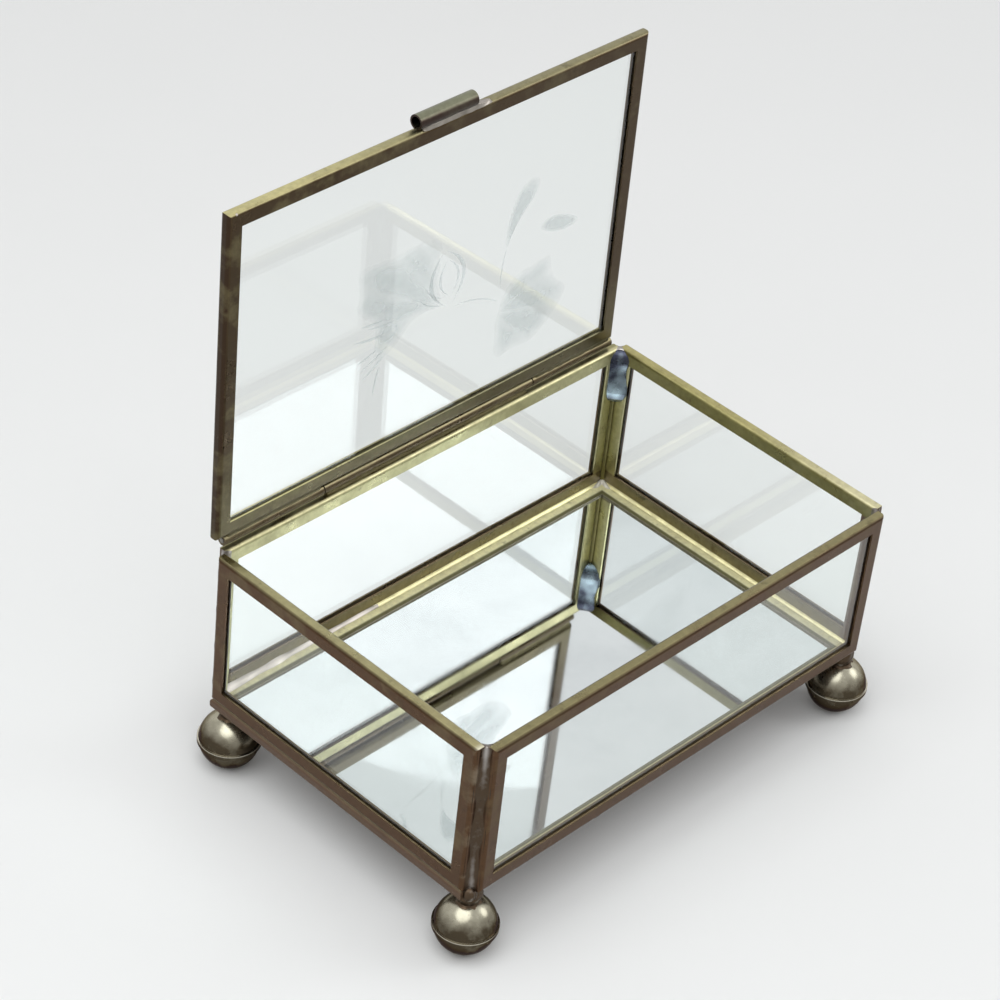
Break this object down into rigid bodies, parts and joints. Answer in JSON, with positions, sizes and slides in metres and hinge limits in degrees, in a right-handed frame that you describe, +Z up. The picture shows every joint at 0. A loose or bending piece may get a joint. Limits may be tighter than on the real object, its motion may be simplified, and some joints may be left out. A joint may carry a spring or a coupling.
{
  "type": "casket box",
  "caption": "Small brass and glass casket box on ball feet, with a mirror floor and a hinged glass lid",
  "frame": {"origin": "on the table, under the middle of the whole part with its lid open", "axes": "X along the long walls to the right, Y from the front wall to the hinge, Z up"},
  "size_m": [0.1234, 0.0832, 0.133],
  "materials": {
    "channel_brass": "aged brass channel, olive gold with brown patina",
    "foot_brass": "pressed brass balls, worn bright on top",
    "hinge_brass": "drawn brass tube, aged",
    "handle_brass": "rolled brass, rubbed bright",
    "hinge_wire": "drawn wire, dull grey",
    "solder": "hand-run solder, grey, dull in the seams and bright inside",
    "clear_glass": "clear sheet glass, lid wheel-cut with a floral spray",
    "floor_mirror": "silvered glass, slightly hazy with age"
  },
  "bodies": {
    "box": {"front_frame": "channel_brass", "back_frame": "channel_brass", "left_frame": "channel_brass", "right_frame": "channel_brass", "floor_frame": "channel_brass", "front_glass": "clear_glass", "back_glass": "clear_glass", "left_glass": "clear_glass", "right_glass": "clear_glass", "floor_mirror": "floor_mirror", "corner_seam_front_left": "solder", "corner_seam_front_right": "solder", "corner_seam_back_left": "solder", "corner_seam_back_right": "solder", "floor_seam_front": "solder", "floor_seam_back": "solder", "floor_seam_right": "solder", "floor_fillet_left": "solder", "floor_fillet_back": "solder", "floor_tack_back_right": "solder", "foot_cup_upper_front_left": "foot_brass", "foot_cup_upper_front_right": "foot_brass", "foot_cup_upper_back_left": "foot_brass", "foot_cup_upper_back_right": "foot_brass", "foot_cup_lower_front_left": "foot_brass", "foot_cup_lower_front_right": "foot_brass", "foot_cup_lower_back_left": "foot_brass", "foot_cup_lower_back_right": "foot_brass", "foot_neck_front_left": "solder", "foot_neck_front_right": "solder", "foot_neck_back_left": "solder", "foot_neck_back_right": "solder", "hinge_knuckle_middle": "hinge_brass", "hinge_pin": "hinge_wire", "hinge_bead_middle": "solder"},
    "lid": {"lid_frame": "channel_brass", "lid_glass": "clear_glass", "hinge_knuckle_left": "hinge_brass", "hinge_knuckle_right": "hinge_brass", "hinge_bead_left": "solder", "hinge_bead_right": "solder", "handle_tube": "handle_brass", "handle_bead": "solder"}
  },
  "joints": [
    {"name": "lid_hinge", "type": "hinge", "parent": "box", "child": "lid", "pos_m": [0, 0.0376, 0.0541], "axis": [1, 0, 0], "range_deg": [0, 90.8]}
  ]
}
